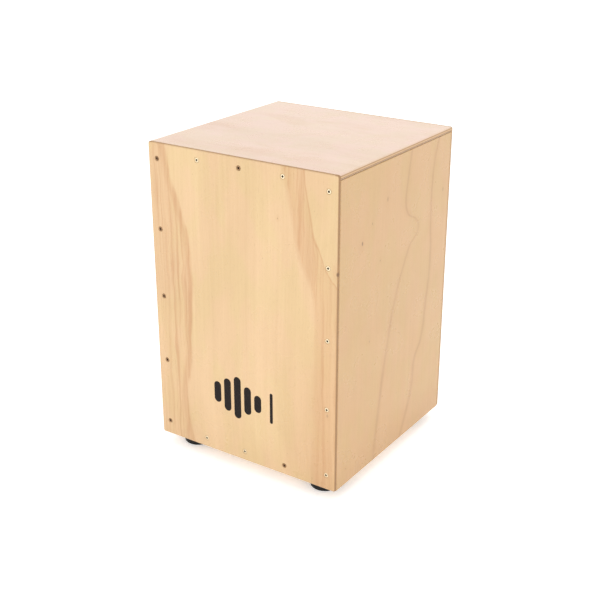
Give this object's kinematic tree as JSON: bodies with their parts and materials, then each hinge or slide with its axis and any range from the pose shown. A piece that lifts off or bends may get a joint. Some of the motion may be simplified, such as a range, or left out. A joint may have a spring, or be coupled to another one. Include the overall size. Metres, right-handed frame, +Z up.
{
  "type": "cajon",
  "caption": "Plywood box drum on rubber feet: a thin screwed playing plate at the front, a sound hole at the back, and snare strings inside with key-turned tension bolts.",
  "frame": {"origin": "on the floor, below the middle of the box", "axes": "+Z up; the playing plate faces -Y; +X to the right of someone who looks at the playing plate"},
  "size_m": [0.3, 0.3, 0.457],
  "materials": {
    "plate_ply": "clear satin lacquer on birch veneer",
    "top_ply": "clear satin lacquer on birch veneer",
    "side_ply": "clear satin lacquer on birch veneer",
    "back_ply": "clear satin lacquer on birch veneer",
    "bottom_ply": "clear lacquer on birch veneer",
    "batten_wood": "planed, unlacquered",
    "anchor_wood": "planed hardwood, oiled",
    "plate_screw_steel": "dull, passivated",
    "foot_steel": "zinc plated",
    "zinc_screw": "zinc plated",
    "bracket_steel": "zinc plated sheet",
    "bolt_steel": "black oxide",
    "string_steel": "bright drawn wire",
    "slider_brass": "machined",
    "rubber_foot": "matt black"
  },
  "bodies": {
    "drum": {"anchor_screw_left": "zinc_screw", "anchor_screw_right": "zinc_screw", "back_panel": "back_ply", "bottom_panel": "bottom_ply", "bracket_screw_left_inner": "zinc_screw", "bracket_screw_left_outer": "zinc_screw", "bracket_screw_right_inner": "zinc_screw", "bracket_screw_right_outer": "zinc_screw", "foot_front_left": "rubber_foot", "foot_front_right": "rubber_foot", "foot_rear_left": "rubber_foot", "foot_rear_right": "rubber_foot", "foot_screw_front_left": "foot_steel", "foot_screw_front_right": "foot_steel", "foot_screw_rear_left": "foot_steel", "foot_screw_rear_right": "foot_steel", "foot_washer_front_left": "foot_steel", "foot_washer_front_right": "foot_steel", "foot_washer_rear_left": "foot_steel", "foot_washer_rear_right": "foot_steel", "front_batten_bottom": "batten_wood", "front_batten_left": "batten_wood", "front_batten_right": "batten_wood", "front_batten_top": "batten_wood", "front_plate": "plate_ply", "plate_screw_01": "plate_screw_steel", "plate_screw_02": "plate_screw_steel", "plate_screw_03": "plate_screw_steel", "plate_screw_04": "plate_screw_steel", "plate_screw_05": "plate_screw_steel", "plate_screw_06": "plate_screw_steel", "plate_screw_07": "plate_screw_steel", "plate_screw_08": "plate_screw_steel", "plate_screw_09": "plate_screw_steel", "plate_screw_10": "plate_screw_steel", "plate_screw_11": "plate_screw_steel", "plate_screw_12": "plate_screw_steel", "plate_screw_13": "plate_screw_steel", "plate_screw_14": "plate_screw_steel", "plate_screw_15": "plate_screw_steel", "plate_screw_16": "plate_screw_steel", "rear_batten_bottom": "batten_wood", "rear_batten_left": "batten_wood", "rear_batten_right": "batten_wood", "rear_batten_top": "batten_wood", "side_panel_left": "side_ply", "side_panel_right": "side_ply", "slider_bracket": "bracket_steel", "snare_string_left_inner": "string_steel", "snare_string_left_outer": "string_steel", "snare_string_right_inner": "string_steel", "snare_string_right_outer": "string_steel", "string_anchor_bar": "anchor_wood", "tension_washer_left": "zinc_screw", "tension_washer_right": "zinc_screw", "top_panel": "top_ply"},
    "tension_bolt_left": {"tension_bolt_left": "bolt_steel"},
    "tension_bolt_right": {"tension_bolt_right": "bolt_steel"},
    "hook_slider_left": {"hook_slider_left": "slider_brass"},
    "hook_slider_right": {"hook_slider_right": "slider_brass"}
  },
  "joints": [
    {"name": "tension_bolt_left_turn", "type": "hinge", "parent": "drum", "child": "tension_bolt_left", "pos_m": [-0.034, -0.1362, 0.02], "axis": [0, 0, 1], "range_deg": [-1800, 720]},
    {"name": "hook_slider_left_draw", "type": "slide", "parent": "drum", "child": "hook_slider_left", "axis": [0, 0, -1], "range_m": [-0.005, 0.002], "deforming": ["snare_string_left_inner", "snare_string_left_outer"]},
    {"name": "tension_bolt_right_turn", "type": "hinge", "parent": "drum", "child": "tension_bolt_right", "pos_m": [0.034, -0.1362, 0.02], "axis": [0, 0, 1], "range_deg": [-1800, 720]},
    {"name": "hook_slider_right_draw", "type": "slide", "parent": "drum", "child": "hook_slider_right", "axis": [0, 0, -1], "range_m": [-0.005, 0.002], "deforming": ["snare_string_right_inner", "snare_string_right_outer"]}
  ],
  "couplings": [
    {"joint": "tension_bolt_left_turn", "follows": "hook_slider_left_draw", "rad_per_m": 6283.2},
    {"joint": "tension_bolt_right_turn", "follows": "hook_slider_right_draw", "rad_per_m": 6283.2}
  ]
}
